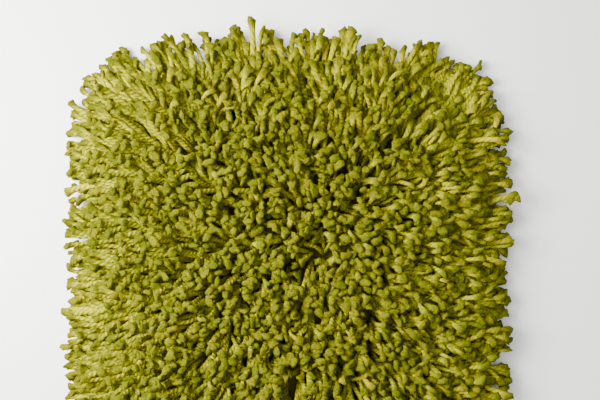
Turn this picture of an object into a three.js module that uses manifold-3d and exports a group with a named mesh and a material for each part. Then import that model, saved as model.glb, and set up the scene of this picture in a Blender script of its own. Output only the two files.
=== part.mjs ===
// A tufted shag bath mat, lying on the floor with its pile up.
//
// From the floor up it is a moulded grip backing with round dots, a woven primary backing, and a deep pile that is
// stitched through the woven backing in parallel rows. Each row is one continuous yarn: its back stitch runs in a
// groove of the grip backing, its root passes through a slit of the woven backing, and its cut ends stand above.
// A tape is folded round the rim of both backings and held by one line of lockstitch, a needle thread on the upper
// side and a bobbin thread underneath.
//
// Millimetres. +Z is up, +Y is along the mat, and the origin is on the floor under the middle of the mat.

import * as THREE from "three";
import { mergeVertices } from "three/addons/utils/BufferGeometryUtils.js";
import Module from "manifold-3d";

const wasm = await Module();
wasm.setup();

// The mat's outline, measured over the binding tape.
const matWidth = 400;
const matLength = 600;
const cornerRadius = 48;
const sideBow = 5; // how far the middle of a long side stands outside a straight one
const endBow = 12; // the same at the short ends
const arcSteps = { side: 2, corner: 6, end: 2 }; // straight pieces in a quarter of the outline

// Thicknesses from the floor up, and the gap between parts that touch.
const gap = 0.3;
const dotHeight = 1;
const gripThickness = 2.3;
const wovenThickness = 0.8;
const tapeThickness = 0.6;
const threadThickness = 0.4;
const stitchThickness = 0.5; // the back stitches under the woven backing

// Grip dots, in staggered lines.
const dotRadius = 6;
const dotPitch = 56;
const dotSides = 8;
const dotMargin = 8; // from a dot to the tape

// Binding tape and its seam.
const tapeWidth = 11;
const seamInset = 6; // from the rim to the middle of the seam
const threadWidth = 1;

// Pile.
const rowCount = 31;
const pileLength = 50;
const pileMargin = 2; // from the tape to the first tufts
const rootWidth = 2.6;
const backStitchWidth = 5;
const edgeLean = 64; // degrees from upright, at the rim of the pile
const leanZone = 120; // how far from the rim the pile still leans outwards
const overhang = 45; // how far the leaning pile stands outside its own root line
const overhangSoftness = 20; // height of the rounded shoulder above and below the overhang
const shoulderSteps = 2;
const softShare = 0.46; // at most this share of the pile's height is the one shoulder or the other

// Levels above the floor.
const gripBottom = dotHeight;
const gripTop = gripBottom + gripThickness;
const stitchBottom = gripTop - stitchThickness;
const wovenBottom = gripTop + gap;
const wovenTop = wovenBottom + wovenThickness;
const pileBottom = wovenTop + gap;
const pileTop = wovenTop + pileLength;
const tapeUpperBottom = wovenTop + gap;
const tapeUpperTop = tapeUpperBottom + tapeThickness;
const needleThreadBottom = tapeUpperTop + gap;
const needleThreadTop = needleThreadBottom + threadThickness;
const rebateTop = gripBottom + tapeThickness + gap; // the grip backing is thinner here, over the tape
const tapeLowerBottom = gripBottom;
const bobbinThreadTop = tapeLowerBottom - gap;
const bobbinThreadBottom = bobbinThreadTop - threadThickness;
const flareBottom = needleThreadTop + gap; // the pile spreads outwards only above the seam

const pileInset = tapeWidth + pileMargin;

const weldDistance = 1e-4; // corners closer than this are one corner
const rounding = 1e-6; // lengths that differ by less are the same

const colours = {
  pile: { color: 0xb3a93f, roughness: 0.95, metalness: 0 },
  woven: { color: 0x6f6c27, roughness: 0.9, metalness: 0 },
  grip: { color: 0xe6e1cf, roughness: 0.6, metalness: 0 },
  tape: { color: 0x8f8a2e, roughness: 0.85, metalness: 0 },
  thread: { color: 0x9a9434, roughness: 0.7, metalness: 0 },
};

// The outline is eight arcs that meet without a kink: two long sides, two ends and four corners.

function arcRadius(halfChord, bow) {
  return (halfChord ** 2 + bow ** 2) / (2 * bow);
}

const sideRadius = arcRadius(matLength / 2, sideBow);
const endRadius = arcRadius(matWidth / 2, endBow);
const sideCentre = new THREE.Vector2(matWidth / 2 - sideRadius, 0);
const endCentre = new THREE.Vector2(0, matLength / 2 - endRadius);

// The point from which a corner arc touches both its neighbours from inside.
function cornerCentreOf(side, end) {
  const fromSide = sideRadius - cornerRadius;
  const fromEnd = endRadius - cornerRadius;
  const apart = side.distanceTo(end);
  const along = (fromSide ** 2 - fromEnd ** 2 + apart ** 2) / (2 * apart);
  const across = Math.sqrt(fromSide ** 2 - along ** 2);
  const direction = end.clone().sub(side).divideScalar(apart);
  const normal = new THREE.Vector2(-direction.y, direction.x);
  return side.clone().addScaledVector(direction, along).addScaledVector(normal, across);
}

const cornerCentre = cornerCentreOf(sideCentre, endCentre);
const sideAngle = cornerCentre.clone().sub(sideCentre).angle();
const endAngle = cornerCentre.clone().sub(endCentre).angle();

function arcPoints(centre, radius, from, to, steps) {
  return Array.from({ length: steps + 1 }, (_, i) => {
    const angle = THREE.MathUtils.lerp(from, to, i / steps);
    return new THREE.Vector2(centre.x + radius * Math.cos(angle), centre.y + radius * Math.sin(angle));
  });
}

// A quarter of the outline, from the middle of the right side to the middle of the far end.
function quarter(inset) {
  const side = arcPoints(sideCentre, sideRadius - inset, 0, sideAngle, arcSteps.side);
  const corner = arcPoints(cornerCentre, cornerRadius - inset, sideAngle, endAngle, arcSteps.corner);
  const end = arcPoints(endCentre, endRadius - inset, endAngle, Math.PI / 2, arcSteps.end);
  return [...side, ...corner.slice(1), ...end.slice(1)];
}

function outline(inset) {
  const first = quarter(inset);
  const mirrored = (points, x, y) => points.map((p) => new THREE.Vector2(p.x * x, p.y * y));
  return [
    ...first.slice(0, -1),
    ...mirrored(first, -1, 1).reverse().slice(0, -1),
    ...mirrored(first, -1, -1).slice(0, -1),
    ...mirrored(first, 1, -1).reverse().slice(0, -1),
  ];
}

// Half the mat's length, along Y, at a distance x from its middle line; 0 outside the outline.
function halfLengthAt(x, inset) {
  const points = quarter(inset);
  const next = points.findIndex((p) => p.x <= Math.abs(x) + rounding);
  if (next < 1) return 0;
  const [a, b] = [points[next - 1], points[next]];
  return THREE.MathUtils.mapLinear(Math.abs(x), a.x, b.x, a.y, b.y);
}

// Solids are joined and cut as manifolds, and become geometries at the end.

function solidOf(geometry) {
  const bare = geometry.index ? geometry.toNonIndexed() : geometry.clone();
  bare.deleteAttribute("normal");
  bare.deleteAttribute("uv");
  const merged = mergeVertices(bare, weldDistance);
  return new wasm.Manifold(
    new wasm.Mesh({
      numProp: 3,
      vertProperties: merged.attributes.position.array,
      triVerts: new Uint32Array(merged.index.array),
    }),
  );
}

function geometryOf(solid) {
  const mesh = solid.getMesh();
  const geometry = new THREE.BufferGeometry();
  geometry.setAttribute("position", new THREE.BufferAttribute(mesh.vertProperties, 3));
  geometry.setIndex(new THREE.BufferAttribute(mesh.triVerts, 1));
  geometry.computeVertexNormals();
  return geometry;
}

function joined(solids) {
  return solids.reduce((whole, solid) => whole.add(solid));
}

function slab(inset, bottom, top) {
  const geometry = new THREE.ExtrudeGeometry(new THREE.Shape(outline(inset)), {
    depth: top - bottom,
    bevelEnabled: false,
  });
  return solidOf(geometry.translate(0, 0, bottom));
}

function ring(outerInset, innerInset, bottom, top) {
  const shape = new THREE.Shape(outline(outerInset));
  shape.holes.push(new THREE.Path(outline(innerInset)));
  const geometry = new THREE.ExtrudeGeometry(shape, { depth: top - bottom, bevelEnabled: false });
  return solidOf(geometry.translate(0, 0, bottom));
}

function bar(x, width, halfLength, bottom, top) {
  const geometry = new THREE.BoxGeometry(width, 2 * halfLength, top - bottom);
  return solidOf(geometry.translate(x, 0, (bottom + top) / 2));
}

// Rows of pile, side by side across the mat and running along it.

const pileHalfWidth = matWidth / 2 - pileInset;
const rowPitch = (2 * pileHalfWidth) / rowCount;

const rows = Array.from({ length: rowCount }, (_, i) => {
  const x = (i - (rowCount - 1) / 2) * rowPitch;
  const outerX = Math.abs(x) + backStitchWidth / 2;
  return { x, rootHalfLength: halfLengthAt(outerX, pileInset) - pileMargin };
});

// How far the pile's boundary plane that stands at x has moved outwards at the top of the pile.
function leanShift(x) {
  const fromRim = pileHalfWidth - Math.abs(x);
  const share = Math.max(0, 1 - fromRim / leanZone) ** 2;
  const angle = THREE.MathUtils.degToRad(edgeLean) * Math.min(1, share);
  return Math.sign(x) * (pileTop - pileBottom) * Math.tan(angle);
}

// The space that the whole pile takes: a neck between the tapes, and above it a cushion with soft shoulders.
function pileEnvelope() {
  const flareHeight = pileTop - flareBottom;
  const shoulder = Math.min(overhangSoftness, softShare * flareHeight);
  const neck = slab(pileInset, pileBottom, flareBottom + shoulder);
  const cushion = new THREE.ExtrudeGeometry(new THREE.Shape(outline(pileInset)), {
    depth: flareHeight - 2 * shoulder,
    bevelEnabled: true,
    bevelSize: overhang,
    bevelThickness: shoulder,
    bevelSegments: shoulderSteps,
  });
  return neck.add(solidOf(cushion.translate(0, 0, flareBottom + shoulder)));
}

// The part of that space that one row fills, between two planes that fan out towards the rim.
function fanSlice(x) {
  const left = x - rowPitch / 2 + gap / 2;
  const right = x + rowPitch / 2 - gap / 2;
  const section = new THREE.Shape([
    new THREE.Vector2(left, pileBottom),
    new THREE.Vector2(right, pileBottom),
    new THREE.Vector2(right + leanShift(right), pileTop),
    new THREE.Vector2(left + leanShift(left), pileTop),
  ]);
  const reach = matLength / 2 + overhang;
  const slice = new THREE.ExtrudeGeometry(section, { depth: 2 * reach, bevelEnabled: false });
  slice.translate(0, 0, -reach).rotateX(Math.PI / 2);
  return solidOf(slice);
}

function pileRow({ x, rootHalfLength }, envelope) {
  const ends = fanSlice(x).intersect(envelope);
  const root = bar(x, rootWidth, rootHalfLength, stitchBottom, pileBottom + gap);
  const backStitch = bar(x, backStitchWidth, rootHalfLength, stitchBottom, gripTop);
  return joined([ends, root, backStitch]);
}

function wovenBacking() {
  const slits = rows.map(({ x, rootHalfLength }) =>
    bar(x, rootWidth + 2 * gap, rootHalfLength + gap, wovenBottom - gap, wovenTop + gap),
  );
  return slits.reduce((sheet, slit) => sheet.subtract(slit), slab(tapeThickness + gap, wovenBottom, wovenTop));
}

function gripDots() {
  const lineSpacing = dotPitch * Math.sin(Math.PI / 3);
  const inset = tapeWidth + dotMargin + dotRadius;
  const lines = Math.floor(matLength / 2 / lineSpacing);
  const columns = Math.ceil(matWidth / 2 / dotPitch);
  const dots = [];
  for (let line = -lines; line <= lines; line++) {
    const y = line * lineSpacing;
    const offset = line % 2 ? dotPitch / 2 : 0;
    for (let column = -columns; column <= columns; column++) {
      const x = column * dotPitch + offset;
      if (halfLengthAt(x, inset) <= Math.abs(y)) continue;
      const dot = new THREE.CylinderGeometry(dotRadius, dotRadius, dotHeight + gap, dotSides);
      dots.push(solidOf(dot.rotateX(Math.PI / 2).translate(x, y, (dotHeight + gap) / 2)));
    }
  }
  return dots;
}

function gripBacking() {
  const rim = slab(tapeThickness + gap, rebateTop, gripTop);
  const middle = slab(tapeWidth + gap, gripBottom, gripTop);
  const grooves = rows.map(({ x, rootHalfLength }) =>
    bar(x, backStitchWidth + 2 * gap, rootHalfLength + gap, stitchBottom - gap, gripTop + gap),
  );
  return grooves.reduce((sheet, groove) => sheet.subtract(groove), joined([rim, middle, ...gripDots()]));
}

// The tape wraps the rim: a lower leg under the grip backing, a wall, and an upper leg over the woven backing.
function bindingTape() {
  return joined([
    ring(0, tapeWidth, tapeLowerBottom, tapeLowerBottom + tapeThickness),
    ring(0, tapeThickness, tapeLowerBottom, tapeUpperTop),
    ring(0, tapeWidth, tapeUpperBottom, tapeUpperTop),
  ]);
}

function seamThread(bottom, top) {
  return ring(seamInset - threadWidth / 2, seamInset + threadWidth / 2, bottom, top);
}

function part(name, solid, finish) {
  const mesh = new THREE.Mesh(geometryOf(solid), new THREE.MeshStandardMaterial(finish));
  mesh.name = name;
  return mesh;
}

const mat = new THREE.Group();
mat.add(part("grip_backing", gripBacking(), colours.grip));
mat.add(part("woven_backing", wovenBacking(), colours.woven));
mat.add(part("edge_binding", bindingTape(), colours.tape));
mat.add(part("seam_needle_thread", seamThread(needleThreadBottom, needleThreadTop), colours.thread));
mat.add(part("seam_bobbin_thread", seamThread(bobbinThreadBottom, bobbinThreadTop), colours.thread));

const envelope = pileEnvelope();
rows.forEach((row, i) => {
  const name = `pile_row_${String(i + 1).padStart(2, "0")}`;
  mat.add(part(name, pileRow(row, envelope), colours.pile));
});

export default mat;
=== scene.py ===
"""A tufted shag bath mat: its pile, backings, binding tape and seam, and a small studio to see it in."""

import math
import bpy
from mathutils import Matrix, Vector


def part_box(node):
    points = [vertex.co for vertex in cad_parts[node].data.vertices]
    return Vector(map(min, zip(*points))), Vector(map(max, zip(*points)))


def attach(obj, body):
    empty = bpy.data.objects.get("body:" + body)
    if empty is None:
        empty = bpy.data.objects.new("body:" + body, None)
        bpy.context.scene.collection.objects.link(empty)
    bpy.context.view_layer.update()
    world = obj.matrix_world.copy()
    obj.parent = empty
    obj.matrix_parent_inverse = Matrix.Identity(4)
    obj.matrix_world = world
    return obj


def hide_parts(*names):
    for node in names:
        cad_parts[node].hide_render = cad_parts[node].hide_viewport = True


bl_info = {
    "name": "Shag Bath Mat",
    "version": (1, 0, 0),
    "blender": (4, 5, 0),
    "location": "View3D > Sidebar > Bath Mat",
    "description": "Makes a long-pile bath mat around its packed frame",
    "category": "Add Mesh",
}

import bpy
import numpy as np
from mathutils import Vector

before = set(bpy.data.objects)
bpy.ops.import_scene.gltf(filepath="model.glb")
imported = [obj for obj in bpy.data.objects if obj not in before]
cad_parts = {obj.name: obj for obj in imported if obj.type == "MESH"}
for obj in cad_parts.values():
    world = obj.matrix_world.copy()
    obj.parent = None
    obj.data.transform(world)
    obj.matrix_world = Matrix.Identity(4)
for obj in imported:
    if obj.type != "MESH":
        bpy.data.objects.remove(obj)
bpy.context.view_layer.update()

BODY = "root"
MM = 0.001
ROW_NODES = sorted(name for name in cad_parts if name.startswith("pile_row_"))

GRIP_LOW, GRIP_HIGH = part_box("grip_backing")
WOVEN_LOW, WOVEN_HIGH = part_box("woven_backing")
TAPE_LOW, TAPE_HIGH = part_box("edge_binding")
NEEDLE_LOW, NEEDLE_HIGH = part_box("seam_needle_thread")
BOBBIN_LOW, BOBBIN_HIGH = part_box("seam_bobbin_thread")
SEAM_INSET = TAPE_HIGH.x - NEEDLE_HIGH.x


# ---------------------------------------------------------------- what a user may change


class MatSizes(bpy.types.PropertyGroup):
    """The mat's outline and its layers."""

    corner_radius: bpy.props.FloatProperty(
        name="Corner Radius", description="Radius of the rim's corners", default=48 * MM, unit="LENGTH"
    )
    side_bow: bpy.props.FloatProperty(
        name="Side Bow", description="How far a long side bows outwards", default=5 * MM, unit="LENGTH"
    )
    end_bow: bpy.props.FloatProperty(
        name="End Bow", description="How far a short end bows outwards", default=12 * MM, unit="LENGTH"
    )
    tape_width: bpy.props.FloatProperty(
        name="Tape Width",
        description="How far the binding tape reaches in from the rim",
        default=11 * MM,
        unit="LENGTH",
    )
    tape_thickness: bpy.props.FloatProperty(
        name="Tape Thickness", description="Thickness of the binding tape", default=0.6 * MM, unit="LENGTH"
    )
    stitch_length: bpy.props.FloatProperty(
        name="Stitch Length", description="Length of one seam stitch", default=3.6 * MM, unit="LENGTH"
    )


class PileSizes(bpy.types.PropertyGroup):
    """The tufts and how they stand."""

    seed: bpy.props.IntProperty(name="Seed", description="Start of the random draws", default=7)
    stitch_gauge: bpy.props.FloatProperty(
        name="Stitch Gauge",
        description="Distance between tufts along a row",
        default=5.2 * MM,
        unit="LENGTH",
    )
    length: bpy.props.FloatProperty(
        name="Pile Length",
        description="Length of a cut end above the backing",
        default=50 * MM,
        unit="LENGTH",
    )
    yarn_radius: bpy.props.FloatProperty(
        name="Yarn Radius", description="Radius of the two-ply yarn", default=2.3 * MM, unit="LENGTH"
    )
    tip_radius: bpy.props.FloatProperty(
        name="Tip Radius",
        description="Radius of a cut end where its fibres open",
        default=4.0 * MM,
        unit="LENGTH",
    )
    edge_lean: bpy.props.FloatProperty(
        name="Edge Lean",
        description="Lean of the outermost tufts from upright",
        default=math.radians(92),
        subtype="ANGLE",
    )
    lean_zone: bpy.props.FloatProperty(
        name="Lean Zone",
        description="How far from the rim the tufts still lean outwards",
        default=125 * MM,
        unit="LENGTH",
    )
    twist: bpy.props.FloatProperty(
        name="Ply Spacing",
        description="Distance along the yarn from ply to ply",
        default=4.8 * MM,
        unit="LENGTH",
    )


class MatColours(bpy.types.PropertyGroup):
    """The mat's colours."""

    yarn: bpy.props.FloatVectorProperty(
        name="Yarn",
        description="Lit face of the pile yarn",
        default=(0.350, 0.329, 0.0130),
        subtype="COLOR",
    )
    # Yarn Root is paler than the yarn above it: painted fill light in the gaps between the tufts, where
    # shade falls.
    yarn_painted_fill: bpy.props.FloatVectorProperty(
        name="Yarn Root", description="Yarn between the tufts", default=(0.42, 0.40, 0.017), subtype="COLOR"
    )
    # Yarn Tip is painted darker and greener than the yarn: painted shade for the light lost between the
    # open fibres of a cut end.
    yarn_shaded_tip: bpy.props.FloatVectorProperty(
        name="Yarn Tip",
        description="Frayed cut end of the yarn",
        default=(0.070, 0.078, 0.0032),
        subtype="COLOR",
    )
    # Yarn Highlight is a painted highlight: fibres painted paler as if they caught the light.
    yarn_painted_highlight: bpy.props.FloatVectorProperty(
        name="Yarn Highlight",
        description="Palest fibres of the yarn",
        default=(0.45, 0.395, 0.028),
        subtype="COLOR",
    )
    latex: bpy.props.FloatVectorProperty(
        name="Latex", description="Moulded grip backing", default=(0.72, 0.68, 0.55), subtype="COLOR"
    )
    scrim: bpy.props.FloatVectorProperty(
        name="Scrim", description="Woven primary backing", default=(0.16, 0.15, 0.012), subtype="COLOR"
    )
    tape: bpy.props.FloatVectorProperty(
        name="Tape", description="Binding tape", default=(0.26, 0.24, 0.035), subtype="COLOR"
    )
    thread: bpy.props.FloatVectorProperty(
        name="Thread", description="Seam thread", default=(0.34, 0.31, 0.06), subtype="COLOR"
    )


def sizes():
    return bpy.context.scene.mat_sizes


def pile():
    return bpy.context.scene.mat_pile


def colours():
    return bpy.context.scene.mat_colours


# ---------------------------------------------------------------- shader nodes as arithmetic


class Value:
    """A socket that can be added, subtracted, multiplied, divided and raised like a number."""

    def __init__(self, finish, socket):
        self.finish = finish
        self.socket = socket

    def __add__(self, other):
        return self.finish.maths("ADD", self, other)

    def __sub__(self, other):
        return self.finish.maths("SUBTRACT", self, other)

    def __rsub__(self, other):
        return self.finish.maths("SUBTRACT", other, self)

    def __mul__(self, other):
        return self.finish.maths("MULTIPLY", self, other)

    def __truediv__(self, other):
        return self.finish.maths("DIVIDE", self, other)

    def __rtruediv__(self, other):
        return self.finish.maths("DIVIDE", other, self)

    def __pow__(self, other):
        return self.finish.maths("POWER", self, other)

    __radd__ = __add__
    __rmul__ = __mul__


class Finish:
    """A material whose nodes are written as expressions."""

    def __init__(self, name, roughness, sheen=0.0, sheen_tint=(1, 1, 1), specular=0.3):
        self.material = bpy.data.materials.new(name)
        self.material.use_nodes = True
        self.tree = self.material.node_tree
        self.shader = self.tree.nodes["Principled BSDF"]
        self.shader.inputs["Roughness"].default_value = roughness
        self.shader.inputs["Specular IOR Level"].default_value = specular
        self.shader.inputs["Sheen Weight"].default_value = sheen
        self.shader.inputs["Sheen Roughness"].default_value = 0.45
        self.shader.inputs["Sheen Tint"].default_value = (*sheen_tint, 1)

    def plug(self, value, socket):
        """Links a value to a socket, or sets a number or a colour on it."""
        if isinstance(value, Value):
            self.tree.links.new(value.socket, socket)
        elif hasattr(value, "__len__") and socket.type == "RGBA":
            socket.default_value = (*value[:3], 1)
        else:
            socket.default_value = value

    def node(self, kind, settings=None, sockets=None, output=0):
        """One node: its settings first, then what its sockets take. Gives one of its outputs."""
        made = self.tree.nodes.new("ShaderNode" + kind)
        for name, value in (settings or {}).items():
            setattr(made, name, value)
        for name, value in (sockets or {}).items():
            self.plug(value, made.inputs[name])
        return Value(self, made.outputs[output])

    def maths(self, operation, a, b=0.0):
        return self.node("Math", {"operation": operation}, {0: a, 1: b})

    def wave(self, value):
        """From 0 to 1 and back each time the value grows by 1."""
        return self.maths("SINE", value * (2 * math.pi)) * 0.5 + 0.5

    def between(self, value, low, high, to_low=0.0, to_high=1.0):
        """The value, moved from one range to another with soft ends."""
        return self.node(
            "MapRange",
            {"interpolation_type": "SMOOTHSTEP"},
            {0: value, 1: low, 2: high, 3: to_low, 4: to_high},
        )

    def mix(self, share, a, b):
        """Two colours, mixed."""
        return self.node("Mix", {"data_type": "RGBA"}, {0: share, 6: a, 7: b}, 2)

    def place(self, scale=1.0):
        """Object coordinates, scaled."""
        point = self.node("TexCoord", output="Object")
        return self.node("Mapping", None, {"Vector": point, "Scale": [scale] * 3})

    def noise(self, vector, scale, detail=3.0, roughness=0.55):
        return self.node(
            "TexNoise", None, {"Vector": vector, "Scale": scale, "Detail": detail, "Roughness": roughness}
        )

    def attribute(self, name):
        return self.node("Attribute", {"attribute_name": name}, output="Fac")

    def axes(self, vector):
        """The three numbers of a vector."""
        split = self.tree.nodes.new("ShaderNodeSeparateXYZ")
        self.plug(vector, split.inputs[0])
        return [Value(self, out) for out in split.outputs]

    def vector(self, x, y, z):
        return self.node("CombineXYZ", None, {0: x, 1: y, 2: z})

    def bump(self, height, distance):
        return self.node("Bump", None, {"Height": height, "Distance": distance}, "Normal")

    def shows(self, colour, normal=None, roughness=None):
        """What the surface looks like."""
        self.plug(colour, self.shader.inputs["Base Color"])
        if normal is not None:
            self.plug(normal, self.shader.inputs["Normal"])
        if roughness is not None:
            self.plug(roughness, self.shader.inputs["Roughness"])
        return self.material


def shaded(colour, share):
    """A colour made this much darker or paler."""
    return [min(1, v * share) for v in colour]


def yarn_finish():
    """Two plies wound round each other, with painted highlights along their fibres, painted shade in the
    grooves between them, a greener frayed end painted darker as shade, and roots painted paler as fill
    light.
    """
    c = colours()
    f = Finish("pile_yarn", roughness=0.95, sheen=0.02, sheen_tint=(1.0, 0.9, 0.15), specular=0.0)
    around, along, _ = f.axes(f.node("UVMap", {"uv_map": "Strand"}))
    rise = f.attribute("rise")
    tint = f.attribute("tint")
    opened = f.between(rise, 0.8, 0.98)
    ply = f.wave(around * 2 + along / (pile().twist / MM))
    strand = f.vector(around * 18 + along * 0.4, along * 0.3, tint * 40)
    fibre = f.noise(strand, 1.6, detail=4, roughness=0.7)
    fluff = f.noise(f.place(), 640, detail=4, roughness=0.75)
    # lower down each strand turns to the paler root colour: painted fill light in the gaps between the
    # tufts
    body = f.mix(f.between(rise, 0.35, 0.95), c.yarn_painted_fill, c.yarn)
    # painted shade: the opened cut end takes the darker tip colour, broken up by fluff noise
    body = f.mix(opened * f.between(fluff, 0.3, 0.6, 1.0, 0.78), body, c.yarn_shaded_tip)
    # painted highlight: paler streaks along the fibres, stronger on some strands, faint on the opened cut
    # ends
    painted_highlight = f.between(fibre, 0.48, 0.72) * f.between(tint, -0.6, 1.0, 0.03, 0.3) * (1 - opened * 0.85)
    body = f.mix(painted_highlight, body, c.yarn_painted_highlight)
    dye = {"Hue": 0.504 - tint * 0.016, "Value": 1 + tint * 0.2, "Color": body}
    hue = f.node("HueSaturation", None, dye)
    grain = f.between(fibre, 0.32, 0.68, 0.82, 1.1) * f.between(fluff, 0.35, 0.65, 0.78, 1.12)
    # painted shade: the colour is darkened in the grooves between the plies, less on the opened cut ends
    groove_shade = (1 - ply) ** 2.2 * (1 - opened * 0.8)
    colour = f.node("VectorMath", {"operation": "SCALE"}, {0: hue, "Scale": grain * (1 - groove_shade * 0.34)})
    height = ply * (1 - opened * 0.8) * 0.8 + fibre * 0.6 + fluff * (0.35 + opened * 0.7)
    return f.shows(colour, f.bump(height, 0.85 * MM))


def woven_finish():
    """A plain weave of flat tapes, over and under, with painted shade where a tape dips under."""
    f = Finish("woven_backing", roughness=0.8, specular=0.25)
    x, y, _ = f.axes(f.place(1 / (1.6 * MM)))
    warp = f.wave(x)
    weft = f.wave(y)
    over = f.wave(x * 0.5 + 0.25) * f.wave(y * 0.5 + 0.25)
    height = warp * over + weft * (1 - over)
    speck = f.noise(f.place(), 900)
    scrim = colours().scrim
    # painted shade: where one tape dips under the next, its colour is darkened
    colour = f.mix(f.between(height, 0.1, 0.7), shaded(scrim, 0.45), scrim)
    colour = f.mix(f.between(speck, 0.55, 0.8) * 0.35, colour, shaded(scrim, 0.7))
    return f.shows(colour, f.bump(height, 0.4 * MM))


def latex_finish():
    """Moulded latex: faint weave showing through, fine pits painted darker as shade, and scuffed paler
    dots.
    """
    f = Finish("grip_latex", roughness=0.55, specular=0.4)
    x, y, z = f.axes(f.place(1 / MM))
    print_through = f.wave(x / 2.4) * f.wave(y / 2.4)
    pits = f.noise(f.place(), 1400, detail=2)
    cloud = f.noise(f.place(), 18, detail=4)
    foot = f.between(z, 0.0, 0.9, 1.0, 0.0)
    latex = colours().latex
    colour = f.mix(f.between(cloud, 0.35, 0.7) * 0.5, latex, shaded(latex, 0.86))
    # painted shade: the colour is darkened in the fine pits
    colour = f.mix(f.between(pits, 0.58, 0.75) * 0.35, colour, shaded(latex, 0.62))
    colour = f.mix(foot * 0.35, colour, shaded(latex, 1.15))
    roughness = f.between(cloud, 0.3, 0.7, 0.5, 0.66) - foot * 0.12
    height = print_through * (1 - foot) * 0.6 - f.between(pits, 0.55, 0.75) * 0.5
    return f.shows(colour, f.bump(height, 0.25 * MM), roughness)


def tape_finish():
    """Twill tape: fine slanting ribs, painted darker in their grooves and paler on their crests."""
    f = Finish("binding_tape", roughness=0.85, sheen=0.15, specular=0.2)
    across, along, _ = f.axes(f.node("UVMap", {"uv_map": "OFBake"}))
    rib = f.wave(along * 1250 + across * 9)
    thread = f.wave(along * 1250 - across * 34)
    speck = f.noise(f.place(), 1100)
    # painted light and shade: the ribs' grooves are darkened and their crests made paler, with random
    # specks mixed in
    shade = rib * 0.7 + thread * 0.2 + speck * 0.3
    tape = colours().tape
    colour = f.mix(f.between(shade, 0.2, 0.9), shaded(tape, 0.5), shaded(tape, 1.25))
    return f.shows(colour, f.bump(shade, 0.22 * MM))


def thread_finish():
    """Spun sewing thread with its twist, painted darker in its grooves and paler on its ridges."""
    f = Finish("seam_thread", roughness=0.6, sheen=0.2, specular=0.3)
    x, y, z = f.axes(f.place(1 / MM))
    twist = f.wave((x + y) * 1.6 + z * 1.2)
    # painted light and shade: the colour is darkened in the twist's grooves and made paler on its ridges
    colour = f.mix(twist, shaded(colours().thread, 0.6), shaded(colours().thread, 1.2))
    return f.shows(colour, f.bump(twist, 0.12 * MM))


def floor_finish():
    """A plain pale floor."""
    f = Finish("floor", roughness=0.9, specular=0.1)
    cloud = f.noise(f.place(), 3, detail=2)
    return f.shows(f.mix(cloud, (0.86, 0.86, 0.86), (0.88, 0.88, 0.88)))


# ---------------------------------------------------------------- the outline and shared mesh work


def arc_radius(half_chord, bow):
    return (half_chord**2 + bow**2) / (2 * bow)


def arc_points(centre, radius, start, end, steps):
    turns = np.linspace(start, end, steps + 1)
    return np.stack([centre[0] + radius * np.cos(turns), centre[1] + radius * np.sin(turns)], axis=1)


def outline(inset, side_steps, corner_steps, end_steps):
    """The mat's rounded outline, this far in from the rim of the tape, as points anticlockwise."""
    s = sizes()
    half_width, half_length = TAPE_HIGH.x, TAPE_HIGH.y
    side_radius = arc_radius(half_length, s.side_bow)
    end_radius = arc_radius(half_width, s.end_bow)
    side = np.array([half_width - side_radius, 0.0])
    end = np.array([0.0, half_length - end_radius])
    to_end = end - side
    apart = np.hypot(*to_end)
    from_side, from_end = side_radius - s.corner_radius, end_radius - s.corner_radius
    along = (from_side**2 - from_end**2 + apart**2) / (2 * apart)
    across = math.sqrt(from_side**2 - along**2)
    direction = to_end / apart
    corner = side + direction * along + np.array([-direction[1], direction[0]]) * across
    side_turn = math.atan2(*(corner - side)[::-1])
    end_turn = math.atan2(*(corner - end)[::-1])
    quarter = np.concatenate(
        [
            arc_points(side, side_radius - inset, 0, side_turn, side_steps),
            arc_points(corner, s.corner_radius - inset, side_turn, end_turn, corner_steps)[1:],
            arc_points(end, end_radius - inset, end_turn, math.pi / 2, end_steps)[1:],
        ]
    )
    return np.concatenate(
        [
            quarter[:-1],
            (quarter * [-1, 1])[::-1][:-1],
            (quarter * [-1, -1])[:-1],
            (quarter * [1, -1])[::-1][:-1],
        ]
    )


def mesh_piece(name, points, faces):
    """An object made from points and faces."""
    mesh = bpy.data.meshes.new(name)
    mesh.from_pydata(points, [], faces)
    mesh.update()
    made = bpy.data.objects.new(name, mesh)
    bpy.context.scene.collection.objects.link(made)
    return made


def smooth(piece):
    piece.data.polygons.foreach_set("use_smooth", [True] * len(piece.data.polygons))


def settle(piece, finish, slot, *nodes):
    """Gives a finished piece its material and its body, and hides the nodes that it stands for. The slot is
    not used.
    """
    piece.data.materials.clear()
    piece.data.materials.append(finish)
    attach(piece, BODY)
    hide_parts(*nodes)
    return piece


def only(piece):
    """Selects one object and makes it active."""
    bpy.ops.object.select_all(action="DESELECT")
    piece.select_set(True)
    bpy.context.view_layer.objects.active = piece


def face_outwards(piece):
    """Turns every face of a closed piece to point out of it, and leaves the piece selected."""
    only(piece)
    bpy.ops.object.mode_set(mode="EDIT")
    bpy.ops.mesh.select_all(action="SELECT")
    bpy.ops.mesh.normals_make_consistent(inside=False)
    bpy.ops.object.mode_set(mode="OBJECT")


def flat_slab(name, inset, low, high):
    """A flat sheet with the mat's outline: a disc shaped to the outline and extruded."""
    rim = outline(inset, 24, 12, 18)
    bpy.ops.object.select_all(action="DESELECT")
    bpy.ops.mesh.primitive_circle_add(vertices=len(rim), radius=TAPE_HIGH.x, fill_type="NGON")
    piece = bpy.context.object
    piece.name = name
    for vertex, place in zip(piece.data.vertices, rim):
        vertex.co = (*place, low)
    only(piece)
    bpy.ops.object.mode_set(mode="EDIT")
    bpy.ops.mesh.select_all(action="SELECT")
    bpy.ops.mesh.extrude_region_move(TRANSFORM_OT_translate={"value": (0, 0, high - low)})
    bpy.ops.object.mode_set(mode="OBJECT")
    face_outwards(piece)
    return piece


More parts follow.
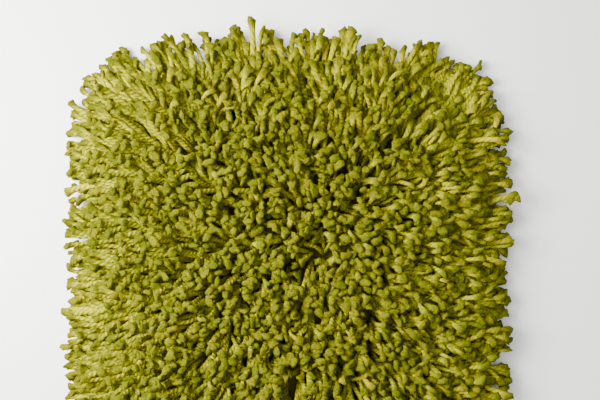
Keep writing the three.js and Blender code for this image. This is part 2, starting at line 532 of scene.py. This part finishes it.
def give_uv(piece, name, pairs):
    """Writes a UV map, one pair for each corner of each face."""
    layer = piece.data.uv_layers.new(name=name)
    layer.data.foreach_set("uv", np.ascontiguousarray(pairs, dtype=np.float32).ravel())


# ---------------------------------------------------------------- the pile

SIDES = 8
PATH_STEPS = 24
RING_SHARES = (0.0, 0.12, 0.32, 0.52, 0.70, 0.84, 0.93, 0.99)  # along a strand, the last at its cut end
RING_SIZES = (0.42, 0.9, 1.0, 1.0, 1.0, 1.08)  # of the yarn's radius, up to where it starts to open
TIP_SIZES = (0.8, 1.0)  # of the tip's radius

ROW_SHIFT = 0.25  # how far the tufts of every other row are moved along, in gauges
LEG_SHIFT = 0.16  # how far each leg comes out from its tuft's middle, in gauges
ACROSS_SCATTER, ALONG_SCATTER = 0.25 * MM, 1.2 * MM  # of the roots, across the row and along it

CROWN = (0.037, 0.102)  # where the pile stands straight up
CROWN_REACH = 0.09  # how far from the crown the pile leans away from it in full
NAP_REACH = (0.02, 0.14)  # how far in front of the crown the nap starts, and is full
PARTING = (0.031, 0.094)  # where a few long ends fall over the others
FALLEN_REACH = (14 * MM, 9 * MM)
HOLLOW_OFFSET, HOLLOW_REACH = -28 * MM, (22 * MM, 25 * MM)  # the ends they fall on, which are pressed aside
BEHIND_OFFSET, BEHIND_REACH = 17 * MM, (18 * MM, 11 * MM)  # the ends that they fall away from
PARTED_OVER = 8 * MM  # how far from the middle of the hollow its ends are pushed aside in full
TALL_TUFT = (-0.036, 0.300)  # a tuft at the end of a row that stands out past its neighbours
TALL_REACH = (8 * MM, 14 * MM)
END_MIDDLE, END_HALF_WIDTH = -0.03, 0.15  # the stretch of each short side whose strands grow longer

UPRIGHT_LEAN = math.radians(17)
NAP_LEAN = math.radians(17)
LEG_LEAN = math.radians(7)  # how far each leg of a tuft leans to its own side
OWN_LEAN = math.radians(7)  # how much each strand differs from its neighbours
FALLEN_LEAN, HOLLOW_LEAN, BEHIND_LEAN, ASIDE_LEAN = 66, 34, 26, 36  # degrees
LUMPS = ((14 * MM, 6), (30 * MM, 9), (75 * MM, 7))  # patches that lean together: how wide, how many degrees
OWN_SWING = math.radians(15)  # how far each strand near the rim turns aside
PATCH_SWING, SWING_PATCH = math.radians(8), 22 * MM  # how far a patch of them does, and how wide it is
CLUMP = 17 * MM  # how wide a clump of ends that lean together is
CLUMP_PULL = 1.1  # how much of the way to its middle their tips lean

FULL_LENGTH = 1.06  # before it is shortened or grown; these are all shares of the pile's length
OWN_SHORT, PATCH_SHORT = 0.1, 0.26
SHORT_PATCH = 17 * MM
STRAY_SHARE, STRAY_LENGTH = 0.08, (0.08, 0.2)  # how many ends near the rim grow longer, and by how much
FALLEN_GROWN, TALL_GROWN, END_GROWN, HOLLOW_SHORT = 0.24, 0.3, 0.22, 0.55

MOST_LEAN = math.radians(104)
DROOP = math.radians(15)  # how much further a strand that leans far hangs at its end
CURL, TIP_CURL = math.radians(12), math.radians(28)
LIES_AT = (5.5, 8)  # how many millimetres above the floor a strand comes to rest
ROOT_RISE = 40  # how many millimetres the ground under a strand would climb along its length
BEND_END, UPRIGHT_BEND = 0.30, 0.25  # where a strand's bend ends, and how much later on an upright one

SIZE_SPREAD = 0.1  # how much thicker or thinner one strand is than the next
TURN = 2.2  # how far a strand's section turns along it, in radians
OPENS_AT = 0.8  # where along a strand its fibres start to open
LOBES, OPEN_LOBES = 0.14, 0.2  # how two-lobed the yarn is, and how much more so where it is open
RAGGED, OPEN_RAGGED = 0.03, 0.11  # how uneven it is, and how much more so where it is open
WIDTH_LIMITS = (0.45, 1.6)
CUT_SLANT = 1.3 * MM
CUT_LIFT = 0.7 * MM
CROWN_RISE, CROWN_SPREAD, CROWN_SIZE = 1.1 * MM, 0.4 * MM, 0.62  # the last ring, inside the cut end
PEAK_RISE, PEAK_SPREAD = 0.2 * MM, 0.7 * MM
ROOT_DEPTH = 0.4 * MM
LOWEST = 0.4 * MM  # what a strand keeps between it and the floor

CAP_SHARES = (1.045, 1.09)  # the last ring and the peak, on the unrolled strand
UNROLL_START, UNROLL_LENGTH, UNROLL_ROOT = 0.03, 0.85, 0.02
CELL_SIDE, CELL_END = 0.06, 0.01  # the margins of a strand's cell
CELL_STRETCH = 3  # cells across for each cell along


def hill(x, y, middle, wide, long):
    """1 at the middle, falling to 0 over these distances."""
    return np.exp(-(((x - middle[0]) / wide) ** 2) - ((y - middle[1]) / long) ** 2)


def soft_noise(x, y, cell, rng):
    """A smooth random field, about from -1 to 1, whose lumps are this large."""
    total = np.zeros_like(x)
    for _ in range(9):
        turn = rng.uniform(0, 2 * math.pi)
        phase = rng.uniform(0, 2 * math.pi)
        wave = cell * rng.uniform(0.75, 1.4)
        total += np.sin((x * math.cos(turn) + y * math.sin(turn)) * math.pi / wave + phase)
    return total / 3


def step_up(value, low, high):
    """From 0 to 1 as the value goes from low to high, with soft ends."""
    share = np.clip((value - low) / (high - low), 0, 1)
    return share * share * (3 - 2 * share)


def row_roots(index, rng):
    """Where the two legs of each tuft of a row come out of the backing, and which leg each is."""
    ends = ROW_REACH[index]
    gauge = pile().stitch_gauge
    count = round(2 * ends / gauge)
    shift = (ROW_SHIFT if index % 2 else -ROW_SHIFT) * gauge
    leg = np.tile([-1.0, 1.0], count)
    y = np.repeat(np.linspace(-ends + gauge / 2, ends - gauge / 2, count) + shift, 2)
    y = np.clip(y + leg * gauge * LEG_SHIFT + rng.normal(0, ALONG_SCATTER, len(y)), -ends, ends)
    return ROW_X[index] + rng.normal(0, ACROSS_SCATTER, len(y)), y, leg


def row_places():
    """Each row's middle line and how far its roots reach, read from the frame's own rows."""
    places = []
    for name in ROW_NODES:
        points = np.array([v.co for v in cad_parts[name].data.vertices])
        root = points[points[:, 2] < WOVEN_LOW.z]
        places.append((root[:, 0].mean(), root[:, 1].max()))
    return [p[0] for p in places], [p[1] for p in places]


ROW_X, ROW_REACH = row_places()


def clump_pull(x, y, rng):
    """How far each strand moves towards the middle of its clump."""
    reach = np.array([max(ROW_X), max(ROW_REACH)]) + CLUMP
    middles = rng.uniform(-1, 1, (round(4 * reach[0] * reach[1] / CLUMP**2), 2)) * reach
    off = middles[None] - np.stack([x, y], axis=1)[:, None]
    nearest = np.linalg.norm(off, axis=2).argmin(axis=1)
    off = off[np.arange(len(x)), nearest]
    return off * np.minimum(1, CLUMP / 2 / np.linalg.norm(off, axis=1))[:, None]


def overall_lean(x, y, near_x, near_y):
    """How the whole pile leans: outwards near the rim, away from the crown, and forwards with the nap."""
    near = np.maximum(near_x, near_y)
    lean = np.stack([np.sign(x) * near_x**1.5, np.sign(y) * near_y**1.5], axis=1) * pile().edge_lean
    off = np.stack([x - CROWN[0], y - CROWN[1]], axis=1)
    away = np.linalg.norm(off, axis=1)
    radial = off / np.maximum(away, 1e-6)[:, None]
    lean += radial * (UPRIGHT_LEAN * step_up(away, 0.0, CROWN_REACH) * (1 - near**0.8))[:, None]
    lean[:, 1] -= NAP_LEAN * step_up(CROWN[1] - y, *NAP_REACH) * (1 - near)
    return lean


def swung(lean, swing):
    """Leans turned aside by these angles."""
    across, along = lean[:, 0], lean[:, 1]
    turned_across = across * np.cos(swing) - along * np.sin(swing)
    turned_along = across * np.sin(swing) + along * np.cos(swing)
    return np.stack([turned_across, turned_along], axis=1)


def lean_of(x, y, leg, rng_field, rng):
    """Which way and how far each strand leans, as an angle with a direction, and how long it grows."""
    p = pile()
    near_x = np.clip(1 - (max(ROW_X) - np.abs(x)) / p.lean_zone, 0, 1)
    near_y = np.clip(1 - (max(ROW_REACH) - np.abs(y)) / p.lean_zone, 0, 1)
    near = np.maximum(near_x, near_y)
    lean = overall_lean(x, y, near_x, near_y)
    fallen = step_up(hill(x, y, PARTING, *FALLEN_REACH), 0.25, 0.65)
    under = hill(x, y, (PARTING[0], PARTING[1] + HOLLOW_OFFSET), *HOLLOW_REACH)
    behind = hill(x, y, (PARTING[0], PARTING[1] + BEHIND_OFFSET), *BEHIND_REACH)
    loose = 1 - 0.8 * fallen
    lean += clump_pull(x, y, rng_field) / p.length * (CLUMP_PULL * (1 - 0.6 * near) * loose)[:, None]
    for cell, size in LUMPS:
        for axis in (0, 1):
            patch = math.radians(size) * soft_noise(x, y, cell, rng_field)
            lean[:, axis] += patch * (1 - 0.45 * near) * loose
    lean[:, 0] += leg * LEG_LEAN
    lean += rng.normal(0, OWN_LEAN, (len(x), 2)) * loose[:, None]
    lean[:, 1] += np.radians(behind * BEHIND_LEAN - fallen * FALLEN_LEAN - under**2 * HOLLOW_LEAN)
    lean[:, 0] += np.radians(ASIDE_LEAN * under * np.tanh((x - PARTING[0]) / PARTED_OVER) * loose)
    swing = rng.normal(0, OWN_SWING, len(x)) + PATCH_SWING * soft_noise(x, y, SWING_PATCH, rng_field)
    lean = swung(lean, swing * (near * loose))
    tall = hill(x, y, TALL_TUFT, *TALL_REACH)
    spread = near_y**3 * (1 - np.clip(np.abs(x - END_MIDDLE) / END_HALF_WIDTH, 0, 1) ** 2)
    short = OWN_SHORT * np.abs(rng.normal(0, 1, len(x)))
    short += PATCH_SHORT * np.clip(soft_noise(x, y, SHORT_PATCH, rng_field), 0, 1.2)
    stray = (rng.random(len(x)) < STRAY_SHARE) * rng.uniform(*STRAY_LENGTH, len(x)) * near
    grown = stray + FALLEN_GROWN * fallen + TALL_GROWN * tall + END_GROWN * spread
    length = p.length * (FULL_LENGTH - short * (1 - 0.6 * near) + grown - HOLLOW_SHORT * under**2)
    return lean, length


def strand_paths(x, y, lean, length, rng):
    """The middle line of each strand: it rises out of the backing, leans, and droops if it leans far."""
    angle = np.linalg.norm(lean, axis=1)
    side = lean / np.maximum(angle, 1e-6)[:, None]
    angle = np.minimum(angle, MOST_LEAN)
    share = np.linspace(0, 1, PATH_STEPS)
    bend = BEND_END + UPRIGHT_BEND * step_up(angle, math.radians(35), 0)
    turned = step_up(share[None, :], 0, bend[:, None])
    droop = DROOP * step_up(angle, math.radians(25), math.radians(85))
    tilt = angle[:, None] * turned + droop[:, None] * share[None, :] ** 2
    curl = rng.normal(0, CURL, (len(x), 1, 3)) * share[None, :, None] ** 1.3
    curl = curl + rng.normal(0, TIP_CURL, (len(x), 1, 3)) * share[None, :, None] ** 2.6
    flat = side[:, None, :] * np.sin(tilt)[..., None]
    heading = np.concatenate([flat, np.cos(tilt)[..., None]], axis=2) + curl
    heading /= np.linalg.norm(heading, axis=2, keepdims=True)
    step = (length / (PATH_STEPS - 1))[:, None, None]
    path = np.cumsum(heading[:, :-1] * step, axis=1)
    path = np.concatenate([np.zeros((len(x), 1, 3)), path], axis=1)
    path += np.stack([x, y, np.full(len(x), WOVEN_LOW.z)], axis=1)[:, None, :]
    lowest = GRIP_LOW.z + rng.uniform(*LIES_AT, len(x)) * MM
    ground = np.minimum(lowest[:, None], WOVEN_LOW.z + share * ROOT_RISE * MM)
    path[:, :, 2] = np.maximum(path[:, :, 2], ground)
    return path, heading


def strand_rings(path, heading, rng):
    """The rings of points round each strand, two-lobed and turning, opening into a ragged cut end."""
    p = pile()
    count = len(path)
    phase = rng.uniform(0, 2 * math.pi, count)
    size = 1 + rng.normal(0, SIZE_SPREAD, count)
    around = np.arange(SIDES) / SIDES * 2 * math.pi
    slant = rng.normal(0, CUT_SLANT, (count, 2)) @ np.stack([np.cos(around), np.sin(around)])
    radii = [p.yarn_radius * s for s in RING_SIZES] + [p.tip_radius * s for s in TIP_SIZES]
    rings = []
    for share, radius in zip(RING_SHARES, radii):
        at = share * (PATH_STEPS - 1)
        low = min(int(at), PATH_STEPS - 2)
        centre = path[:, low] + (path[:, low + 1] - path[:, low]) * (at - low)
        ahead = heading[:, low]
        side = np.cross(ahead, [0.0, 0.0, 1.0])
        side[np.linalg.norm(side, axis=1) < 0.05] = [1.0, 0.0, 0.0]
        side -= ahead * (side * ahead).sum(1, keepdims=True)
        side /= np.linalg.norm(side, axis=1, keepdims=True)
        other = np.cross(ahead, side)
        turn = phase[:, None] + around[None, :] + share * TURN
        open_end = step_up(share, OPENS_AT, 1.0)
        lobes = 1 + (LOBES + OPEN_LOBES * open_end) * np.cos(2 * around)[None, :]
        ragged = rng.normal(0, RAGGED + OPEN_RAGGED * open_end, (count, SIDES))
        width = radius * size[:, None] * lobes * np.clip(1 + ragged, *WIDTH_LIMITS)
        lift = open_end * (slant + rng.normal(0, CUT_LIFT, (count, SIDES)))
        ring = centre[:, None, :] + width[..., None] * (
            np.cos(turn)[..., None] * side[:, None, :] + np.sin(turn)[..., None] * other[:, None, :]
        )
        rings.append(ring + lift[..., None] * ahead[:, None, :])
    tip = path[:, -1]
    ahead = heading[:, -1]
    crown = slant * 0.5 + rng.normal(CROWN_RISE, CROWN_SPREAD, (count, SIDES))
    inner = tip[:, None, :] + (rings[-1] - tip[:, None, :]) * CROWN_SIZE
    inner += crown[..., None] * ahead[:, None, :]
    rings.append(inner)
    peak = inner.mean(axis=1) + ahead * rng.normal(PEAK_RISE, PEAK_SPREAD, count)[:, None]
    root = path[:, 0] - np.array([0, 0, ROOT_DEPTH])
    rings = np.stack(rings, axis=1)
    rings[..., 2] = np.maximum(rings[..., 2], GRIP_LOW.z + LOWEST)
    return rings, peak, root


def strand_faces(count, rings):
    """Faces of the strands: bands between rings, and fans that close both ends."""
    per = rings * SIDES + 2
    here = np.arange(SIDES)
    after = (here + 1) % SIDES
    band = np.stack([here, after, SIDES + after, SIDES + here], axis=1)
    bands = np.concatenate([band + r * SIDES for r in range(rings - 1)])
    last = (rings - 1) * SIDES
    top = np.stack([last + here, last + after, np.full(SIDES, rings * SIDES)], axis=1)
    bottom = np.stack([after, here, np.full(SIDES, rings * SIDES + 1)], axis=1)
    shift = np.arange(count)[:, None, None] * per
    quads = (bands[None] + shift).reshape(-1, 4)
    tris = (np.concatenate([top, bottom])[None] + shift).reshape(-1, 3)
    return quads, tris


def corner_pairs(*corners):
    """How far around and along each corner of a ring of faces is."""
    return np.stack([np.stack(np.broadcast_arrays(*corner), axis=1) for corner in corners], axis=1)


def strand_corners(rings, along):
    """For each corner of one strand's faces, how far it is around and along, from 0 to 1."""
    here = np.arange(SIDES) / SIDES
    after = here + 1 / SIDES
    half = here + 0.5 / SIDES
    quads = []
    for low, high in zip(along[: rings - 1], along[1:rings]):
        quads.append(corner_pairs((here, low), (after, low), (after, high), (here, high)))
    edge, root = along[rings - 1], along[0]
    top = corner_pairs((here, edge), (after, edge), (half, along[rings]))
    bottom = corner_pairs((after, root), (here, root), (half, root - UNROLL_ROOT))
    return np.concatenate(quads).reshape(-1, 2), np.concatenate([top, bottom]).reshape(-1, 2)


def strand_maps(piece, count, rings):
    """Two UV maps: Strand repeats on each strand, in millimetres, and OFBake gives each its own cell."""
    length = pile().length / MM
    along = [UNROLL_START + UNROLL_LENGTH * s for s in (*RING_SHARES, *CAP_SHARES)]
    quads, tris = strand_corners(rings, along)
    local = np.concatenate([np.tile(quads, (count, 1)), np.tile(tris, (count, 1))])
    which = np.concatenate([np.repeat(np.arange(count), len(part)) for part in (quads, tris)])
    reach = (local[:, 1] - UNROLL_START) / UNROLL_LENGTH * length
    give_uv(piece, "Strand", np.stack([local[:, 0], reach], axis=1))
    columns = math.ceil(math.sqrt(CELL_STRETCH * count))
    lines = math.ceil(count / columns)
    cell_u = (which % columns + CELL_SIDE + (1 - 2 * CELL_SIDE) * local[:, 0]) / columns
    cell_v = (which // columns + CELL_END + (1 - 2 * CELL_END) * local[:, 1]) / lines
    give_uv(piece, "OFBake", np.stack([cell_u, cell_v], axis=1))


def pile_row(index, rng, field_seed):
    """One row of tufts as one piece."""
    name = ROW_NODES[index]
    x, y, leg = row_roots(index, rng)
    lean, length = lean_of(x, y, leg, np.random.default_rng(field_seed), rng)
    path, heading = strand_paths(x, y, lean, length, rng)
    rings, peak, root = strand_rings(path, heading, rng)
    count, ring_count = rings.shape[:2]
    points = np.concatenate([rings.reshape(count, -1, 3), peak[:, None], root[:, None]], axis=1)
    quads, tris = strand_faces(count, ring_count)
    faces = [*quads.tolist(), *tris.tolist()]
    piece = mesh_piece("tufts_" + name[-2:], points.reshape(-1, 3).tolist(), faces)
    smooth(piece)
    strand_maps(piece, count, ring_count)
    shares = np.concatenate([np.repeat([*RING_SHARES, 1.0], SIDES), [1.0, 0.0]])
    rise = piece.data.attributes.new("rise", "FLOAT", "POINT")
    rise.data.foreach_set("value", np.tile(shares, count).astype(np.float32))
    tint = piece.data.attributes.new("tint", "FLOAT", "POINT")
    shade = np.clip(rng.normal(0, 0.5, count), -1, 1)
    tint.data.foreach_set("value", np.repeat(shade, points.shape[1]).astype(np.float32))
    return piece


class MAT_OT_pile(bpy.types.Operator):
    """Stitches every row of the pile"""

    bl_idname = "mat.pile"
    bl_label = "Pile"

    def execute(self, context):
        finish = yarn_finish()
        for index, node in enumerate(ROW_NODES):
            rng = np.random.default_rng([pile().seed, index])
            settle(pile_row(index, rng, pile().seed), finish, "pile_yarn", node)
        return {"FINISHED"}


# ---------------------------------------------------------------- the backings

TAPE_GAP = 0.3 * MM  # between the grip backing and the tape
FOOT_BAND = 0.2 * MM  # how far above the floor a dot's foot is looked for
DOT_APART = 20 * MM  # points of feet closer than this are of one dot
DOT_OVERLAP = 0.4 * MM  # how far a dot reaches up into the sheet
DOT_ROUNDING = 0.55 * MM


class MAT_OT_woven_backing(bpy.types.Operator):
    """Lays the woven primary backing that the rows are stitched through"""

    bl_idname = "mat.woven_backing"
    bl_label = "Woven Backing"

    def execute(self, context):
        inset = TAPE_HIGH.x - WOVEN_HIGH.x
        piece = flat_slab("woven_scrim", inset, WOVEN_LOW.z, WOVEN_HIGH.z)
        settle(piece, woven_finish(), "woven_backing", "woven_backing")
        return {"FINISHED"}


def dot_places():
    """The middles of the grip dots, from the frame's own dots."""
    points = np.array([v.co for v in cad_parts["grip_backing"].data.vertices])
    feet = points[points[:, 2] < GRIP_LOW.z + FOOT_BAND][:, :2]
    middles = []
    while len(feet):
        near = np.linalg.norm(feet - feet[0], axis=1) < DOT_APART
        middles.append(feet[near].mean(axis=0))
        feet = feet[~near]
    return middles


class MAT_OT_grip_backing(bpy.types.Operator):
    """Moulds the grip backing with its round dots"""

    bl_idname = "mat.grip_backing"
    bl_label = "Grip Backing"

    dot_radius: bpy.props.FloatProperty(
        name="Dot Radius", description="Radius of a grip dot", default=6 * MM, unit="LENGTH"
    )
    dot_height: bpy.props.FloatProperty(
        name="Dot Height", description="How far a dot stands below the sheet", default=1 * MM, unit="LENGTH"
    )

    def dot(self):
        """One dot: a short cylinder with a rounded foot."""
        depth = self.dot_height + DOT_OVERLAP
        bpy.ops.object.select_all(action="DESELECT")
        bpy.ops.mesh.primitive_cylinder_add(vertices=24, radius=self.dot_radius, depth=depth)
        dot = bpy.context.object
        dot.data.transform(dot.matrix_world)
        dot.matrix_world.identity()
        for vertex in dot.data.vertices:
            vertex.co.z += GRIP_LOW.z + depth / 2
        only(dot)
        bpy.ops.object.mode_set(mode="EDIT")
        bpy.ops.mesh.select_all(action="DESELECT")
        bpy.ops.object.mode_set(mode="OBJECT")
        for edge in dot.data.edges:
            edge.select = all(dot.data.vertices[i].co.z < GRIP_LOW.z + 0.1 * MM for i in edge.vertices)
        bpy.ops.object.mode_set(mode="EDIT")
        bpy.ops.mesh.bevel(offset=DOT_ROUNDING, segments=3, affect="EDGES")
        bpy.ops.object.mode_set(mode="OBJECT")
        return dot

    def execute(self, context):
        inset = sizes().tape_width + TAPE_GAP
        piece = flat_slab("grip_sheet", inset, GRIP_LOW.z + self.dot_height, GRIP_HIGH.z)
        pattern = self.dot()
        dots = []
        for place in dot_places():
            dot = pattern.copy()
            dot.data = pattern.data.copy()
            for vertex in dot.data.vertices:
                vertex.co.x += place[0]
                vertex.co.y += place[1]
            bpy.context.scene.collection.objects.link(dot)
            dots.append(dot)
        bpy.data.objects.remove(pattern)
        only(piece)
        for dot in dots:
            dot.select_set(True)
        bpy.ops.object.join()
        bpy.ops.object.shade_smooth_by_angle(angle=math.radians(35))
        settle(piece, latex_finish(), "grip_latex", "grip_backing")
        return {"FINISHED"}


# ---------------------------------------------------------------- the binding tape and its seam

PUCKER = 0.12 * MM  # how deep the stitches draw the tape in
PUCKER_TURN = 2.4  # radians of the pucker for each point of the outline
THREAD_RADIUS = 0.32 * MM
STITCH_SIDES = 6
STITCH_SHARES = np.array([0.04, 0.12, 0.3, 0.5, 0.7, 0.88, 0.96])  # of the way along one stitch
STITCH_RISE = np.array([-1.0, 0.1, 0.85, 1.0, 0.85, 0.1, -1.0])  # of its arch
STITCH_SIZES = np.array([0.5, 0.9, 1.0, 1.0, 1.0, 0.9, 0.5])  # of its radius
STITCH_ARCH = 0.25 * MM
NEEDLE_SINK, BOBBIN_SINK = 0.1 * MM, 0.25 * MM  # how far the stitches sit in the tape


def tape_profile():
    """The folded tape's section: how far in from the rim and how high, once round its closed skin."""
    s = sizes()
    low, high, thick = TAPE_LOW.z, TAPE_HIGH.z, s.tape_thickness
    middle, reach = (low + high) / 2, (high - low) / 2
    turns = np.linspace(-math.pi / 2, math.pi / 2, 9)
    outer = [(reach - reach * math.cos(t), middle + reach * math.sin(t)) for t in turns]
    inner = [(reach - (reach - thick) * math.cos(t), middle + (reach - thick) * math.sin(t)) for t in turns]
    edge = s.tape_width
    corner = edge - thick * 0.3
    skin = [(edge, low + thick * 0.5), (corner, low), *outer, (corner, high)]
    back = [(edge, high - thick * 0.5), (corner, high - thick), *inner[::-1]]
    return skin + back + [(corner, low + thick)]


class MAT_OT_edge_binding(bpy.types.Operator):
    """Folds the tape round the rim of both backings"""

    bl_idname = "mat.edge_binding"
    bl_label = "Edge Binding"

    def execute(self, context):
        profile = tape_profile()
        rings = [outline(inset, 40, 14, 30) for inset, _ in profile]
        count, around = len(rings[0]), len(profile)
        pucker = PUCKER * np.sin(np.arange(count) * PUCKER_TURN)
        points = []
        for (_, height), ring in zip(profile, rings):
            squeeze = 1 if height > (TAPE_LOW.z + TAPE_HIGH.z) / 2 else -1
            points += [(x, y, height - squeeze * abs(p)) for (x, y), p in zip(ring.tolist(), pucker)]
        faces = [
            (a * count + i, a * count + j, b * count + j, b * count + i)
            for a, b in ((k, (k + 1) % around) for k in range(around))
            for i, j in ((i, (i + 1) % count) for i in range(count))
        ]
        piece = mesh_piece("binding_tape", points, faces)
        face_outwards(piece)
        bpy.ops.object.shade_smooth_by_angle(angle=math.radians(50))
        self.map(piece, around, count)
        settle(piece, tape_finish(), "binding_tape", "edge_binding")
        ring = np.array(rings[0])
        length = np.linalg.norm(ring - np.roll(ring, -1, axis=0), axis=1).sum()
        return {"FINISHED"}

    def map(self, piece, around, count):
        """Lays the tape flat, in strips: across it in u and along it in v."""
        pairs = []
        for polygon in piece.data.polygons:
            cells = [divmod(v, count) for v in polygon.vertices]
            wraps_round = {c[0] for c in cells} == {0, around - 1}
            wraps_along = {c[1] for c in cells} == {0, count - 1}
            for a, i in cells:
                u = around if wraps_round and a == 0 else a
                v = count if wraps_along and i == 0 else i
                pairs.append((u / around, v / count))
        give_uv(piece, "OFBake", pairs)


def stitch_ring(name, height, arch):
    """A line of seam stitches along the seam, each one a small arch of thread that dips into the tape."""
    line = outline(SEAM_INSET, 60, 30, 50)
    steps = np.linalg.norm(np.roll(line, -1, axis=0) - line, axis=1)
    along = np.concatenate([[0], np.cumsum(steps)])
    closed = np.concatenate([line, line[:1]])
    count = round(along[-1] / sizes().stitch_length)
    turns = np.arange(STITCH_SIDES) / STITCH_SIDES * 2 * math.pi
    points, faces = [], []
    for stitch in range(count):
        at = (stitch + STITCH_SHARES) / count * along[-1]
        middle = np.stack([np.interp(at, along, closed[:, k]) for k in (0, 1)], axis=1)
        ahead = middle[-1] - middle[0]
        ahead /= np.linalg.norm(ahead)
        side = np.array([-ahead[1], ahead[0]])
        start = len(points)
        for (x, y), lift, radius in zip(middle, STITCH_RISE, STITCH_SIZES * THREAD_RADIUS):
            for turn in turns:
                out = radius * math.cos(turn)
                z = height + arch * lift + radius * math.sin(turn)
                points.append((x + side[0] * out, y + side[1] * out, z))
        for r in range(len(STITCH_SHARES) - 1):
            for i in range(STITCH_SIDES):
                j = (i + 1) % STITCH_SIDES
                a, b = start + r * STITCH_SIDES, start + (r + 1) * STITCH_SIDES
                faces.append((a + i, b + i, b + j, a + j))
        last = start + (len(STITCH_SHARES) - 1) * STITCH_SIDES
        faces.append(tuple(start + i for i in range(STITCH_SIDES)))
        faces.append(tuple(last + i for i in reversed(range(STITCH_SIDES))))
    piece = mesh_piece(name, points, faces)
    face_outwards(piece)
    smooth(piece)
    return piece


class MAT_OT_seam(bpy.types.Operator):
    """Sews the tape down with one line of lockstitch"""

    bl_idname = "mat.seam"
    bl_label = "Seam"

    def execute(self, context):
        finish = thread_finish()
        height = (NEEDLE_LOW.z + NEEDLE_HIGH.z) / 2 - NEEDLE_SINK
        upper = stitch_ring("needle_stitches", height, STITCH_ARCH)
        settle(upper, finish, "seam_thread", "seam_needle_thread")
        height = (BOBBIN_LOW.z + BOBBIN_HIGH.z) / 2 + BOBBIN_SINK
        lower = stitch_ring("bobbin_stitches", height, -STITCH_ARCH)
        settle(lower, finish, "seam_thread", "seam_bobbin_thread")
        return {"FINISHED"}


# ---------------------------------------------------------------- the studio

FLOOR_SIZE = 30
FLOOR_GAP = 0.3 * MM  # keeps the floor just clear of the dots
WORLD_LIGHT = 0.78


def area_light(name, place, target, size, watts, colour):
    """A round lamp that points at its target."""
    data = bpy.data.lights.new(name, "AREA")
    data.shape = "DISK"
    data.size = size
    data.energy = watts
    data.color = colour
    light = bpy.data.objects.new(name, data)
    light.location = place
    light.rotation_euler = (Vector(target) - Vector(place)).to_track_quat("-Z", "Y").to_euler()
    bpy.context.scene.collection.objects.link(light)


class MAT_OT_studio(bpy.types.Operator):
    """Sets the floor, the lights and the camera"""

    bl_idname = "mat.studio"
    bl_label = "Studio"

    looks_at: bpy.props.FloatVectorProperty(
        name="Looks At",
        description="Point of the floor under the lens",
        size=2,
        default=(0.012, 0.160),
        unit="LENGTH",
    )
    camera_height: bpy.props.FloatProperty(
        name="Camera Height",
        description="Height of the lens above the floor",
        default=0.685,
        unit="LENGTH",
    )
    lens: bpy.props.FloatProperty(name="Lens", description="Focal length", default=39.6, unit="CAMERA")

    def execute(self, context):
        bpy.ops.object.select_all(action="DESELECT")
        bpy.ops.mesh.primitive_plane_add(size=FLOOR_SIZE)
        floor = bpy.context.object
        floor.name = "floor"
        floor.location.z = -FLOOR_GAP
        floor.data.materials.append(floor_finish())
        self.camera()
        area_light("key", (-0.84, 0.60, 0.95), (0, 0.05, 0), 1.6, 38, (1.0, 0.985, 0.95))
        area_light("side", (-0.44, 0.22, 0.50), (-0.18, 0.16, 0), 0.45, 17, (1.0, 0.98, 0.94))
        area_light("fill", (0.1, 0.1, 1.7), (0, 0.1, 0), 0.7, 3, (1.0, 0.98, 0.95))
        world = bpy.data.worlds.new("studio")
        world.use_nodes = True
        background = world.node_tree.nodes["Background"]
        background.inputs["Color"].default_value = (1, 1, 1, 1)
        background.inputs["Strength"].default_value = WORLD_LIGHT
        bpy.context.scene.world = world
        return {"FINISHED"}

    def camera(self):
        place = Vector((*self.looks_at, self.camera_height))
        data = bpy.data.cameras.new("camera")
        data.lens = self.lens
        data.sensor_width = 36
        data.clip_start = 0.01
        camera = bpy.data.objects.new("camera", data)
        camera.location = place
        bpy.context.scene.collection.objects.link(camera)
        bpy.context.scene.camera = camera


class MAT_PT_panel(bpy.types.Panel):
    """The mat's settings and its pieces"""

    bl_label = "Bath Mat"
    bl_idname = "MAT_PT_panel"
    bl_space_type = "VIEW_3D"
    bl_region_type = "UI"
    bl_category = "Bath Mat"

    def draw(self, context):
        for group in (context.scene.mat_sizes, context.scene.mat_pile, context.scene.mat_colours):
            box = self.layout.box()
            for name in group.__annotations__:
                box.prop(group, name)
        for operator in OPERATORS:
            self.layout.operator(operator.bl_idname)


OPERATORS = (
    MAT_OT_grip_backing,
    MAT_OT_woven_backing,
    MAT_OT_edge_binding,
    MAT_OT_seam,
    MAT_OT_pile,
    MAT_OT_studio,
)
GROUPS = {"mat_sizes": MatSizes, "mat_pile": PileSizes, "mat_colours": MatColours}


def register():
    for made in (*GROUPS.values(), *OPERATORS, MAT_PT_panel):
        bpy.utils.register_class(made)
    for name, group in GROUPS.items():
        setattr(bpy.types.Scene, name, bpy.props.PointerProperty(type=group))


def unregister():
    for name in GROUPS:
        delattr(bpy.types.Scene, name)
    for made in reversed((*GROUPS.values(), *OPERATORS, MAT_PT_panel)):
        bpy.utils.unregister_class(made)


def main():
    register()
    bpy.ops.mat.grip_backing()
    bpy.ops.mat.woven_backing()
    bpy.ops.mat.edge_binding()
    bpy.ops.mat.seam()
    bpy.ops.mat.pile()
    bpy.ops.mat.studio()


if __name__ == "__main__":
    main()
